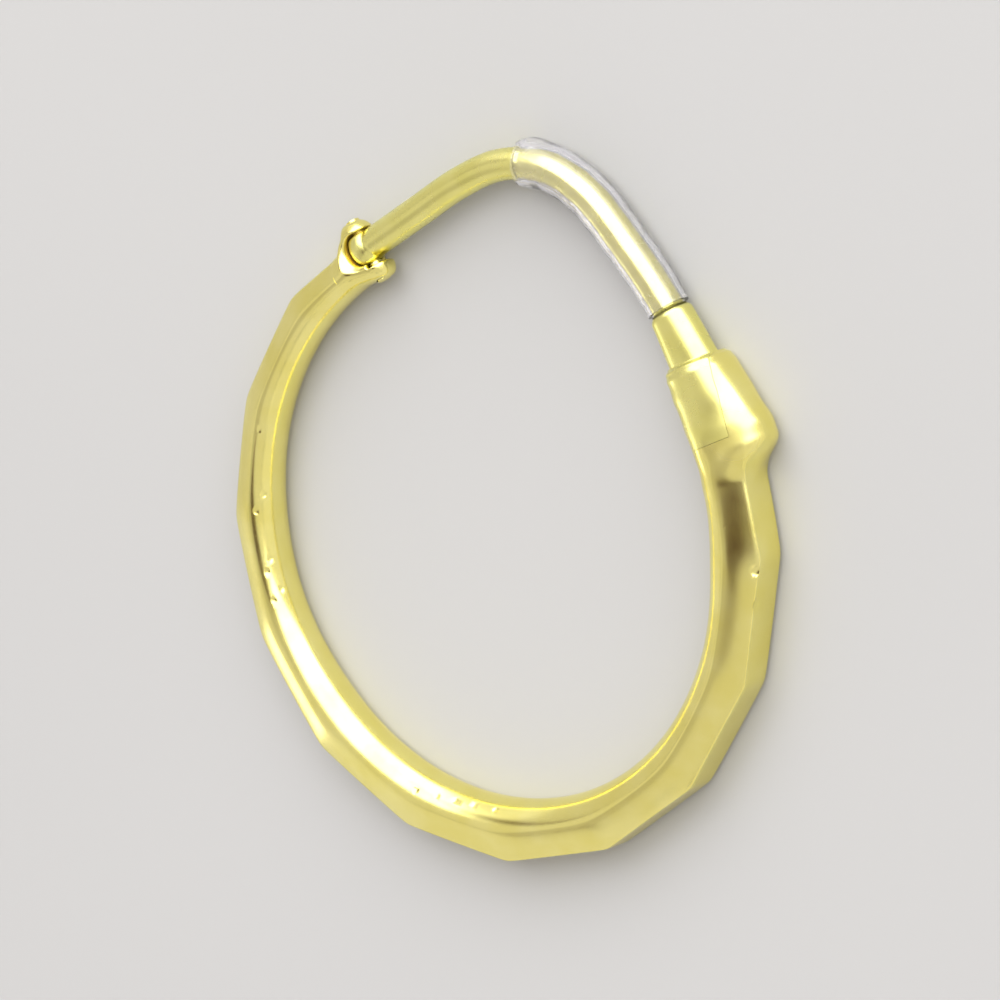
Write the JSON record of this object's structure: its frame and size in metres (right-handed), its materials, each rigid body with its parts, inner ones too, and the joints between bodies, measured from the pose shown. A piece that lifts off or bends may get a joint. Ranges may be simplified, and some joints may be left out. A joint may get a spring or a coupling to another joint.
{
  "type": "hoop earring with hinged ear wire",
  "caption": "Hollow faceted hoop earring whose hinged ear wire, with a clear sleeve, swings up and closes flush into a catch socket.",
  "frame": {"origin": "middle of the underside: below the middle of the whole earring, on the surface it lies on", "axes": "+Z is the hoop's axis, up from the side it lies on; +Y points from the hoop's middle to the wire's arch; +X to the catch"},
  "size_m": [0.0196, 0.022, 0.0017],
  "materials": {
    "hoop_gold": "polished gold, diamond-cut facets outside",
    "pin_gold": "polished gold",
    "wire_gold": "polished gold",
    "clear_plastic": "clear glossy tube"
  },
  "bodies": {
    "hoop": {"hoop": "hoop_gold", "hinge_pin": "pin_gold"},
    "ear_wire": {"ear_wire": "wire_gold", "clear_sleeve": "clear_plastic"}
  },
  "joints": [
    {"name": "wire_hinge", "type": "hinge", "parent": "hoop", "child": "ear_wire", "pos_m": [-0.00622, 0.00602, 0.00072], "axis": [0.7373, -0.6756, 0], "range_deg": [0, 90]}
  ]
}
